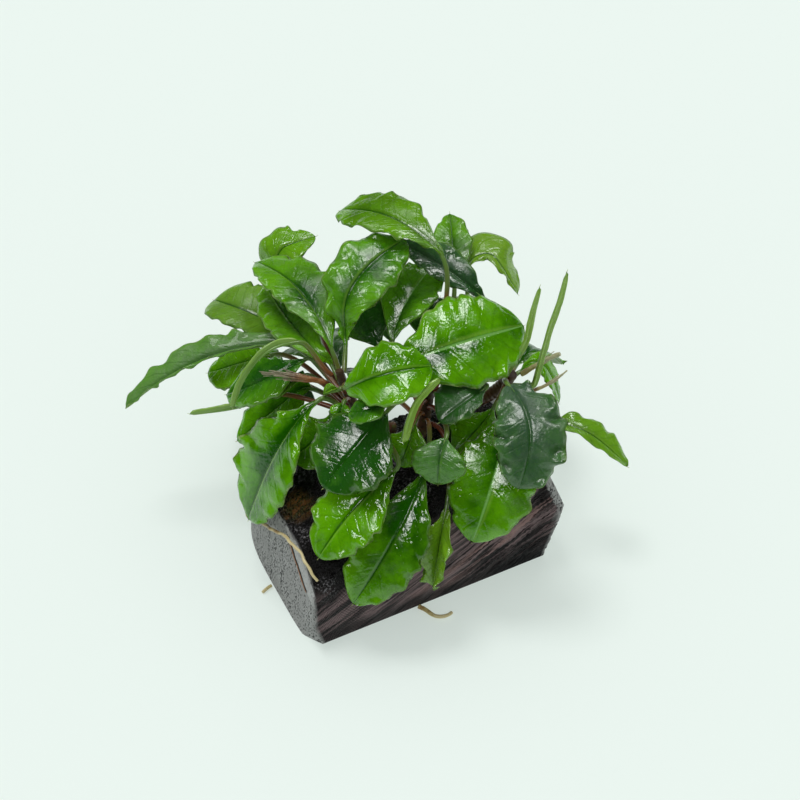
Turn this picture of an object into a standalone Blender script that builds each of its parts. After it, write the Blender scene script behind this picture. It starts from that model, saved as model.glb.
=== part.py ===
"""A bucephalandra grown on a saw-cut block of driftwood.

Origin: middle of the block's flat underside. +X runs along the block, +Z up.
Lengths in the tables are millimetres; every mesh is made in metres.
"""

import math
import random

import bmesh
import bpy
from mathutils import Vector

MM = 0.001
UP = Vector((0.0, 0.0, 1.0))

# Driftwood block
WOOD_DEPTH = 62.0
# place along the block, height of its ridge there
WOOD_RIDGE = ((-45.0, 36.5), (-37.0, 40.0), (-26.0, 44.0), (-12.0, 47.0), (4.0, 48.5),
              (20.0, 48.5), (32.0, 47.5), (40.0, 46.0), (45.0, 45.0))
WOOD_SIDE_POINTS = 15
WOOD_BOTTOM_POINTS = 6
WOOD_FRONT_SQUARENESS = 3.4
WOOD_BACK_SQUARENESS = 2.3
WOOD_ROUGHNESS = 0.5
# saw cut at the left end: how far the foot stands out, and its broken front corner
LEFT_FOOT = 4.4
LEFT_FOOT_MIDDLE = -4.0
LEFT_FOOT_REACH = 35.0
LEFT_CORNER = 3.5
LEFT_CORNER_DEPTH = 7.0
# saw cut at the right end: it runs out to its widest, then slants back
RIGHT_OUT = 7.8
RIGHT_OUT_HEIGHT = 23.0
RIGHT_SLANT = 0.3

# Creeping stems: path and thickness. Leaf stalks sit on the last stretch of each.
STEM_RADIUS = 3.1
STEM_SIDES = 8
STEMS = {
    "left": ((3.0, 7.0, 53.2), (-5.0, 8.0, 55.0), (-11.0, 14.0, 62.0), (-12.0, 20.0, 77.0)),
    "middle": ((2.0, -5.0, 53.0), (9.0, -3.0, 54.0), (14.0, 3.0, 58.0), (18.0, 11.0, 72.0)),
    "right": ((26.0, 6.0, 52.5), (36.0, 6.0, 51.5), (44.0, 5.0, 53.0), (47.0, 3.0, 64.0)),
}
STALK_SPACING = 0.9
STALK_RADIUS = 0.6
STALK_RINGS = 5
TOUCH_GAP = 0.35

# Bare stalks of lost leaves: radius at the stem and at the broken end, then the path
OLD_STALKS = {
    "old_stalk_left": (0.7, 0.9, (-15.5, 20.5, 71.0), (-21.0, 20.0, 76.0), (-29.0, 23.0, 80.0),
                       (-36.5, 30.5, 77.0)),
    "old_stalk_right_1": (0.8, 0.9, (50.8, 2.4, 62.0), (54.0, 2.0, 63.0), (59.0, 2.5, 65.5),
                          (64.5, -0.5, 69.0)),
    "old_stalk_right_2": (0.8, 0.5, (50.6, -0.4, 55.0), (55.0, -1.0, 55.0), (61.0, -1.5, 55.5),
                          (69.0, 0.5, 57.5)),
}

# Roots, each lying on the wood or on the ground: radius at both ends, then the path
ROOTS = {
    "root_left": (0.65, 0.5, (-48.6, 23.0, 15.5), (-49.2, 16.0, 18.5), (-48.2, 7.0, 29.0),
                  (-48.0, -1.0, 36.0), (-46.4, -13.0, 37.0), (-45.0, -17.5, 40.5),
                  (-43.2, -25.5, 33.5), (-42.6, -26.6, 30.5)),
    "root_ground_left": (0.7, 0.65, (-50.2, 0.3, 0.75), (-52.0, 0.0, 0.8), (-54.4, -1.0, 0.75)),
    "root_ground_front": (0.7, 0.45, (-6.6, -32.3, 0.8), (-5.4, -36.0, 0.75), (-3.6, -41.8, 0.75),
                          (3.0, -39.3, 0.7)),
}

# Leaf blades
BLADE_RINGS = 13
BLADE_HALF_THICKNESS = 0.45
EDGE_WAVE = 0.7

LEAF_COLORS = {
    "leaf_bright": (0.10, 0.33, 0.02),
    "leaf_dark": (0.02, 0.10, 0.015),
    "leaf_grey": (0.11, 0.18, 0.14),
    "leaf_pale": (0.27, 0.40, 0.10),
}
# leaves that are not bright green
LEAF_SHADES = {
    "leaf_dark": ("leaf_back_2", "leaf_left_2", "leaf_left_5", "leaf_left_6", "leaf_left_10", "leaf_left_11",
                  "leaf_front_9", "leaf_middle_4", "leaf_middle_6"),
    "leaf_grey": ("leaf_front_5", "leaf_front_11", "leaf_front_12", "leaf_right_1", "leaf_middle_1"),
    "leaf_pale": ("leaf_left_4", "leaf_left_8", "leaf_left_9", "leaf_front_7", "leaf_right_2", "leaf_right_3",
                  "leaf_middle_5", "leaf_back_4"),
}

# name, stem, blade base, middle and tip of the midrib, width, roll, fold
LEAVES = (
    ("leaf_back_1", "middle", (34, 36, 102), (24, 55, 106), (14, 73, 98), 20, 0, 10),
    ("leaf_back_2", "middle", (47, 23, 82), (39, 36, 89), (29, 55, 91), 13, -20, 25),
    ("leaf_back_3", "middle", (44, 41, 76), (49, 52, 82), (56, 68, 84), 14, 0, 15),
    ("leaf_back_4", "middle", (50, 43, 70), (60, 47, 80), (64, 35, 73), 18, 0, 10),
    ("leaf_left_1", "left", (-4, 32, 85), (4, 38, 98), (27, 47, 100), 23, 12, 12),
    ("leaf_left_2", "left", (-11, 30, 82), (-12, 53, 88), (-18, 78, 82), 19, 0, 12),
    ("leaf_left_3", "left", (-3, 80, 62), (-8, 87, 74), (9, 85, 78), 18, 0, 10),
    ("leaf_left_4", "left", (-12, 63, 57), (-24, 73, 64), (-34, 91, 61), 21, 0, 12),
    ("leaf_left_5", "left", (-13, 28, 76), (-17, 42, 78), (-15, 77, 70), 18, 0, 10),
    ("leaf_left_6", "left", (-21, 48, 69), (-49, 60, 62), (-78, 66, 44), 12, 0, 35),
    ("leaf_left_7", "left", (-24, 53, 60), (-34, 57, 57), (-45, 63, 51), 17, 0, 10),
    ("leaf_left_8", "left", (-23, 29, 88), (-37, 31, 85), (-49, 28, 68), 8, 60, 40),
    ("leaf_left_9", "left", (-34, 37, 58), (-46, 41, 54), (-58, 49, 49), 8, 60, 40),
    ("leaf_left_10", "left", (-19, 33, 74), (-33, 34, 70), (-46, 42, 60), 18, 0, 10),
    ("leaf_left_11", "left", (-21, 32, 67), (-30, 34, 64), (-40, 42, 58), 13, 0, 15),
    ("leaf_front_1", "left", (-21, 36, 56), (-32, 36, 50), (-45, 38, 39), 18, 0, 12),
    ("leaf_front_2", "left", (-23, 14, 73), (-40, 12, 58), (-53, 11, 28), 23, 0, 12),
    ("leaf_front_3", "left", (-18, 15, 63), (-23, 12, 58), (-30, 12, 50), 17, 0, 10),
    ("leaf_front_4", "middle", (-5, -3, 75), (-19, -8, 69), (-33, -11, 58), 26, -8, 10),
    ("leaf_front_5", "left", (-8, -16, 60), (-27, -20, 52), (-41, -23, 38), 25, -10, 10),
    ("leaf_front_6", "middle", (2, -18, 56), (-16, -31, 44), (-34, -35, 22), 25, -22, 12),
    ("leaf_front_7", "middle", (6, -27, 44), (-1, -37, 35), (-5, -41, 20), 16, 0, 50),
    ("leaf_front_8", "right", (39, -12, 64), (22, -31, 55), (10, -39, 36), 30, -8, 10),
    ("leaf_front_9", "middle", (30, -9, 76), (19, -12, 76), (10, -13, 72), 16, 0, 10),
    ("leaf_front_10", "right", (35, -6, 60), (26, -10, 57), (17, -11, 51), 17, 0, 12),
    ("leaf_front_11", "middle", (10, -18, 69), (5, -23, 66), (3, -26, 57), 19, 0, 12),
    ("leaf_front_12", "middle", (5, -4, 65), (0, -9, 61), (-4, -10, 54), 11, 0, 15),
    ("leaf_front_13", "middle", (-6, -5, 82), (-13, -5, 82), (-18, -1, 79), 12, 0, 10),
    ("young_leaf_1", "left", (-15, 13, 76), (-18, 14, 75), (-20, 15, 73), 5, 0, 55),
    ("young_leaf_2", "left", (-16, 8, 74), (-18, 6, 73), (-19, 5, 70), 8, 0, 15),
    ("leaf_right_1", "right", (37, -12, 77), (35, -31, 74), (26, -41, 58), 25, 0, 10),
    ("leaf_right_2", "right", (57, -15, 50), (66, -23, 48), (76, -33, 36), 12, 0, 10),
    ("leaf_right_3", "right", (44, 1, 68), (51, -1, 80), (55, 1, 104), 5, 70, 30),
    ("leaf_right_4", "right", (54, -2, 60), (58, -1, 82), (65, 2, 106), 6, 70, 30),
    ("leaf_right_5", "right", (55, 10, 55), (64, 9, 55), (67, 1, 41), 12, 0, 12),
    ("leaf_middle_1", "middle", (8, 9, 82), (28, 4, 87), (54, 8, 80), 29, 28, 8),
    ("leaf_middle_2", "left", (-15, 5, 84), (-3, -2, 92), (12, -3, 89), 23, 22, 10),
    ("leaf_middle_3", "middle", (11, 25, 76), (22, 36, 81), (41, 49, 82), 20, 0, 20),
    ("leaf_middle_4", "left", (8, 28, 72), (7, 37, 77), (10, 49, 80), 17, 0, 12),
    ("leaf_middle_5", "middle", (-4, -15, 74), (3, -10, 83), (12, -9, 89), 6, 70, 35),
    ("leaf_middle_6", "middle", (24, 26, 68), (30, 32, 72), (37, 39, 74), 18, 0, 10),
    ("leaf_hidden_1", "left", (-16, 56, 42), (-24, 70, 37), (-32, 82, 22), 20, 0, 10),
    ("leaf_hidden_2", "left", (-2, 46, 54), (-2, 62, 48), (-4, 78, 30), 21, 0, 10),
    ("leaf_hidden_3", "middle", (18, 44, 62), (20, 62, 58), (22, 80, 42), 21, 0, 10),
    ("leaf_hidden_4", "middle", (36, 34, 60), (44, 50, 58), (52, 66, 44), 20, 0, 10),
    ("leaf_hidden_5", "right", (60, 18, 52), (68, 22, 50), (78, 28, 34), 19, 0, 10),
    ("leaf_hidden_6", "right", (46, 28, 48), (52, 40, 40), (58, 50, 22), 19, 0, 10),
    ("leaf_hidden_7", "left", (-14, 46, 40), (-18, 60, 34), (-20, 76, 16), 18, 0, 10),
    ("leaf_hidden_8", "middle", (12, 40, 44), (16, 52, 36), (18, 64, 17), 18, 0, 10),
)


def clear_objects():
    for old in list(bpy.data.objects):
        bpy.data.objects.remove(old, do_unlink=True)


def make_material(name, color, roughness):
    material = bpy.data.materials.new(name)
    material.use_nodes = True
    shader = material.node_tree.nodes["Principled BSDF"]
    shader.inputs["Base Color"].default_value = (*color, 1.0)
    shader.inputs["Roughness"].default_value = roughness
    shader.inputs["Metallic"].default_value = 0.0
    return material


def bezier(points, share):
    """Point on the Bezier curve of any number of control points."""
    points = list(points)
    while len(points) > 1:
        points = [a.lerp(b, share) for a, b in zip(points, points[1:])]
    return points[0]


def through_middle(base, middle, tip):
    """Control points of the curve that passes through middle half way."""
    return [base, middle * 2.0 - (base + tip) * 0.5, tip]


def tangent(points, share):
    step = 0.01
    return (bezier(points, min(share + step, 1.0)) - bezier(points, max(share - step, 0.0))).normalized()


def add_object(name, bm, material, origin):
    bmesh.ops.recalc_face_normals(bm, faces=bm.faces[:])
    bmesh.ops.translate(bm, vec=-origin, verts=bm.verts[:])
    mesh = bpy.data.meshes.new(name)
    bm.to_mesh(mesh)
    bm.free()
    mesh.materials.append(material)
    mesh.shade_smooth()
    mesh.set_sharp_from_angle(angle=math.radians(50.0))
    part = bpy.data.objects.new(name, mesh)
    part.location = origin
    part.parent = bpy.data.objects["plant_on_wood"]
    bpy.context.collection.objects.link(part)
    return part


def loft(name, rings, material, origin):
    """Closed skin over rings of points in millimetres; a ring of one point is a pointed end."""
    bm = bmesh.new()
    rows = [[bm.verts.new(point * MM) for point in ring] for ring in rings]
    for low, high in zip(rows, rows[1:]):
        count = max(len(low), len(high))
        for i in range(count):
            j = (i + 1) % count
            if len(high) == 1:
                bm.faces.new((low[i], low[j], high[0]))
            elif len(low) == 1:
                bm.faces.new((low[0], high[j], high[i]))
            else:
                bm.faces.new((low[i], low[j], high[j], high[i]))
    for end in (rows[0], rows[-1]):
        if len(end) > 2:
            bm.faces.new(end)
    bmesh.ops.triangulate(bm, faces=bm.faces[:])
    return add_object(name, bm, material, origin * MM)


def ring_around(center, direction, radius, sides, side_hint=UP):
    across = direction.cross(side_hint)
    if across.length < 0.05:
        across = direction.cross(Vector((0.0, 1.0, 0.0)))
    across.normalize()
    over = across.cross(direction).normalized()
    ring = []
    for i in range(sides):
        angle = 2.0 * math.pi * i / sides
        ring.append(center + (across * math.cos(angle) + over * math.sin(angle)) * radius)
    return ring


def tube(name, points, radii, sides, material, count):
    """Round rod along a smooth curve, its radius running through radii."""
    rings = []
    for k in range(count):
        share = k / (count - 1)
        place = share * (len(radii) - 1)
        low = min(int(place), len(radii) - 2)
        radius = radii[low] + (radii[low + 1] - radii[low]) * (place - low)
        rings.append(ring_around(bezier(points, share), tangent(points, share), radius, sides))
    return loft(name, rings, material, points[0])


def wood_point(angle, height):
    """Outline of the block's section: steep front, flat top, rounder back."""
    side = -math.cos(angle)
    square = WOOD_FRONT_SQUARENESS if side < 0.0 else WOOD_BACK_SQUARENESS
    y = math.copysign(abs(side) ** (2.0 / square), side) * WOOD_DEPTH / 2.0
    return y, abs(math.sin(angle)) ** (2.0 / square) * height


def wood_shift(x, y, z):
    """How far the two saw cuts lean out of square at this point."""
    if x < 0.0:
        bulge = 1.0 - ((y - LEFT_FOOT_MIDDLE) / LEFT_FOOT_REACH) ** 4
        foot = LEFT_FOOT * bulge * (1.0 - z / WOOD_RIDGE[0][1])
        corner = max(1.0 - (y + WOOD_DEPTH / 2.0) / LEFT_CORNER_DEPTH, 0.0) * LEFT_CORNER
        return (x / WOOD_RIDGE[0][0]) ** 4 * (corner * (1.0 - min(z / 10.0, 1.0)) - foot)
    out = min(z / RIGHT_OUT_HEIGHT, 1.0) * RIGHT_OUT
    out -= max(z - RIGHT_OUT_HEIGHT, 0.0) * RIGHT_SLANT
    return (x / WOOD_RIDGE[-1][0]) ** 2 * out


def wood_section(x, height, rng):
    ring = []
    for i in range(WOOD_SIDE_POINTS):
        y, z = wood_point(math.pi * i / (WOOD_SIDE_POINTS - 1), height)
        if 0 < i < WOOD_SIDE_POINTS - 1:
            y += rng.uniform(-WOOD_ROUGHNESS, WOOD_ROUGHNESS) * 0.5
            z += rng.uniform(-WOOD_ROUGHNESS, WOOD_ROUGHNESS)
        else:
            z = 0.0
        ring.append(Vector((x + wood_shift(x, y, z), y, z)))
    for i in range(1, WOOD_BOTTOM_POINTS + 1):
        y = WOOD_DEPTH * (0.5 - i / (WOOD_BOTTOM_POINTS + 1))
        ring.append(Vector((x + wood_shift(x, y, 0.0), y, 0.0)))
    return ring


def make_driftwood(material):
    rng = random.Random(4)
    rings = [wood_section(x, height, rng) for x, height in WOOD_RIDGE]
    return loft("driftwood", rings, material, Vector())


def make_stem(side, material):
    points = [Vector(p) for p in STEMS[side]]
    radii = (STEM_RADIUS * 0.7, STEM_RADIUS, STEM_RADIUS, STEM_RADIUS * 0.85)
    return tube("creeping_stem_" + side, points, radii, STEM_SIDES, material, 9)


def make_rod(name, row, sides, material):
    path = [Vector(point) for point in row[2:]]
    return tube(name, path, row[:2], sides, material, 3 * len(path))


def stalk_start(side, rank, toward):
    """Where a leaf stalk leaves the creeping stem, and the direction it sets out in."""
    points = [Vector(p) for p in STEMS[side]]
    length = sum((bezier(points, (k + 1) / 20) - bezier(points, k / 20)).length for k in range(20))
    share = 1.0 - (0.8 + rank * STALK_SPACING) / length
    center = bezier(points, share)
    axis = tangent(points, share)
    out = toward - center
    out -= axis * out.dot(axis)
    out.normalize()
    start = center + out * (STEM_RADIUS + TOUCH_GAP + STALK_RADIUS * 0.8)
    climb = (toward - center).normalized().dot(axis)
    return start, (out * 0.8 + axis * (0.45 + 0.5 * climb)).normalized()


def blade_profile(share):
    """Half width along the blade: narrow wedge at the base, broad middle, blunt end."""
    wedge = 0.55 + 0.45 * min(share / 0.4, 1.0)
    return math.sin(math.pi * share ** 1.08) ** 0.6 * wedge


def frame_at(direction, level, roll):
    across = (level - direction * level.dot(direction)).normalized()
    normal = direction.cross(across)
    across = across * math.cos(roll) + normal * math.sin(roll)
    return across, direction.cross(across)


def make_leaf(row, rank, material):
    name, side, base, middle, tip, width, roll, fold = row
    base, middle, tip = Vector(base), Vector(middle), Vector(tip)
    midrib = through_middle(base, middle, tip)
    heading = Vector((tip.x - base.x, tip.y - base.y, 0.0)).normalized()
    level = UP.cross(heading)
    roll, fold = math.radians(roll), math.radians(fold)

    start, out = stalk_start(side, rank, base)
    reach = (base - start).length
    stalk = [start, start + out * reach * 0.3, base - tangent(midrib, 0.0) * reach * 0.25, base]
    rings = []
    for k in range(STALK_RINGS):
        share = k / STALK_RINGS
        direction = tangent(stalk, share)
        across, normal = frame_at(direction, level, roll)
        place = bezier(stalk, share)
        rings.append([place + across * STALK_RADIUS, place + normal * STALK_RADIUS,
                      place - across * STALK_RADIUS, place - normal * STALK_RADIUS])
    for k in range(BLADE_RINGS):
        share = k / BLADE_RINGS
        direction = tangent(midrib, share)
        across, normal = frame_at(direction, level, roll)
        place = bezier(midrib, share)
        half = max(blade_profile(share) * width / 2.0, STALK_RADIUS)
        thick = max(BLADE_HALF_THICKNESS, STALK_RADIUS * (1.0 - share * 4.0))
        wave = EDGE_WAVE * (-1.0) ** k * min(share * 5.0, 1.0)
        lift = math.sin(fold) * min(share * 5.0, 1.0)
        edge = math.cos(fold)
        rings.append([place + (across * edge + normal * lift) * half + normal * wave,
                      place + normal * thick,
                      place + (normal * lift - across * edge) * half - normal * wave,
                      place - normal * thick])
    rings.append([tip])
    return loft(name, rings, material, start)


def stalk_ranks():
    """Steep leaves sit nearest the growing end of their stem, low ones further back."""
    ranks = {}
    for side, points in STEMS.items():
        end = Vector(points[-1])
        own = [row for row in LEAVES if row[1] == side]
        own.sort(key=lambda row: -(Vector(row[2]) - end).normalized().z)
        for rank, row in enumerate(own):
            ranks[row[0]] = rank
    return ranks


def build():
    clear_objects()
    bpy.context.collection.objects.link(bpy.data.objects.new("plant_on_wood", None))
    wood = make_material("driftwood", (0.035, 0.026, 0.022), 0.55)
    stem = make_material("stem", (0.16, 0.05, 0.03), 0.45)
    root = make_material("root", (0.45, 0.34, 0.18), 0.6)
    greens = {name: make_material(name, color, 0.25) for name, color in LEAF_COLORS.items()}
    shades = {leaf: shade for shade, leaves in LEAF_SHADES.items() for leaf in leaves}
    make_driftwood(wood)
    for side in STEMS:
        make_stem(side, stem)
    for name, row in OLD_STALKS.items():
        make_rod(name, row, 6, stem)
    for name, row in ROOTS.items():
        make_rod(name, row, 6, root)
    ranks = stalk_ranks()
    for row in LEAVES:
        make_leaf(row, ranks[row[0]], greens[shades.get(row[0], "leaf_bright")])


build()
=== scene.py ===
import math
import random
import time

import bmesh
import bpy
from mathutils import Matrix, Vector, noise


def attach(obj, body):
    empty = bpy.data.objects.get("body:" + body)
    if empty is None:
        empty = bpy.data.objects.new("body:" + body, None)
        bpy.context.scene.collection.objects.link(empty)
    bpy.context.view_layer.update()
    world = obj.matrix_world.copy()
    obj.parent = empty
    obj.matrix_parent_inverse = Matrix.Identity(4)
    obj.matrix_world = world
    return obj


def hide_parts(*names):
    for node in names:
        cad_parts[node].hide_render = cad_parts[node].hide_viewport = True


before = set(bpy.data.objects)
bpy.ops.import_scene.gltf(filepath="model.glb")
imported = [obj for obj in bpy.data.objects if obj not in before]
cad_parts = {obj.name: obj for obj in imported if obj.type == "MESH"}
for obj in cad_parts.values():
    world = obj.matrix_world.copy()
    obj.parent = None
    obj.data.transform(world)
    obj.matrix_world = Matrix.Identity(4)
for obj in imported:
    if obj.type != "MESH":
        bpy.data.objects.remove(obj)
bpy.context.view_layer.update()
started = time.time()
mm = 0.001
upward = Vector((0.0, 0.0, 1.0))


def report(stage):
    print("%5.1f s  %s" % (time.time() - started, stage))


# A socket that can be added, multiplied and so on, in a shader tree or a geometry tree
class Wire:
    def __init__(self, tree, socket):
        self.tree = tree
        self.socket = socket
        self.isVector = socket.type in ("VECTOR", "RGBA")

    def __add__(self, other):
        return combine(self, other, "ADD")

    def __radd__(self, other):
        return combine(other, self, "ADD")

    def __sub__(self, other):
        return combine(self, other, "SUBTRACT")

    def __rsub__(self, other):
        return combine(other, self, "SUBTRACT")

    def __mul__(self, other):
        return combine(self, other, "MULTIPLY")

    def __rmul__(self, other):
        return combine(other, self, "MULTIPLY")

    def __truediv__(self, other):
        return combine(self, other, "DIVIDE")

    def __rtruediv__(self, other):
        return combine(other, self, "DIVIDE")

    def __pow__(self, other):
        return combine(self, other, "POWER")

    def __neg__(self):
        return combine(self, -1.0, "MULTIPLY")


def isVector(value):
    if isinstance(value, Wire):
        return value.isVector
    return isinstance(value, (tuple, Vector))


def combine(a, b, operation):
    tree = a.tree if isinstance(a, Wire) else b.tree
    if isVector(a) and isVector(b):
        return vectorMath(tree, operation, a, b)
    if isVector(a) and operation == "MULTIPLY":
        return addNode(tree, "ShaderNodeVectorMath", {"operation": "SCALE"}, {0: a, 3: b})
    if isVector(b) and operation == "MULTIPLY":
        return addNode(tree, "ShaderNodeVectorMath", {"operation": "SCALE"}, {0: b, 3: a})
    return maths(tree, operation, a, b)


def maths(tree, operation, *values):
    return addNode(tree, "ShaderNodeMath", {"operation": operation}, dict(enumerate(values)))


def vectorMath(tree, operation, *values, out=0):
    return addNode(tree, "ShaderNodeVectorMath", {"operation": operation}, dict(enumerate(values)), out)


def addNode(tree, kind, settings=None, inputs=None, out=0):
    node = tree.nodes.new(kind)
    for name, value in (settings or {}).items():
        if name == "stops":
            fillRamp(node.color_ramp, value)
        else:
            setattr(node, name, value)
    for name, value in (inputs or {}).items():
        socket = node.inputs[name]
        if isinstance(value, Wire):
            tree.links.new(value.socket, socket)
        elif value is not None:
            if socket.type == "RGBA" and len(value) == 3:
                value = (*value, 1.0)
            socket.default_value = value
    return Wire(tree, node.outputs[out]) if len(node.outputs) else node


def fillRamp(ramp, stops):
    for place, value in stops:
        stop = ramp.elements.new(place)
        stop.color = (*value, 1.0) if isinstance(value, tuple) else (value, value, value, 1.0)
    ramp.elements.remove(ramp.elements[0])
    ramp.elements.remove(ramp.elements[-1]) if ramp.elements[-1].position == 1.0 and stops[-1][0] < 1.0 else None


def sine(value):
    return maths(value.tree, "SINE", value)


def cosine(value):
    return maths(value.tree, "COSINE", value)


def absolute(value):
    return maths(value.tree, "ABSOLUTE", value)


def clamp01(value):
    return addNode(value.tree, "ShaderNodeClamp", {}, {"Value": value, "Min": 0.0, "Max": 1.0})


def remap(value, low, high, toLow=0.0, toHigh=1.0):
    return addNode(value.tree, "ShaderNodeMapRange", {"interpolation_type": "SMOOTHSTEP"},
                   {"Value": value, "From Min": low, "From Max": high, "To Min": toLow, "To Max": toHigh})


# Shapes shared with the solids

def bezier(points, share):
    points = list(points)
    while len(points) > 1:
        points = [a.lerp(b, share) for a, b in zip(points, points[1:])]
    return points[0]


def throughMiddle(base, middle, tip):
    return [base, middle * 2.0 - (base + tip) * 0.5, tip]


def tangent(points, share):
    step = 0.01
    return (bezier(points, min(share + step, 1.0)) - bezier(points, max(share - step, 0.0))).normalized()


stemSizes = {"radius": 3.1, "gap": 0.35, "spacing": 0.9, "stalkRadius": 0.6}
stemPaths = {
    "left": ((3.0, 7.0, 53.2), (-5.0, 8.0, 55.0), (-11.0, 14.0, 62.0), (-12.0, 20.0, 77.0)),
    "middle": ((2.0, -5.0, 53.0), (9.0, -3.0, 54.0), (14.0, 3.0, 58.0), (18.0, 11.0, 72.0)),
    "right": ((26.0, 6.0, 52.5), (36.0, 6.0, 51.5), (44.0, 5.0, 53.0), (47.0, 3.0, 64.0)),
}

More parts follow.
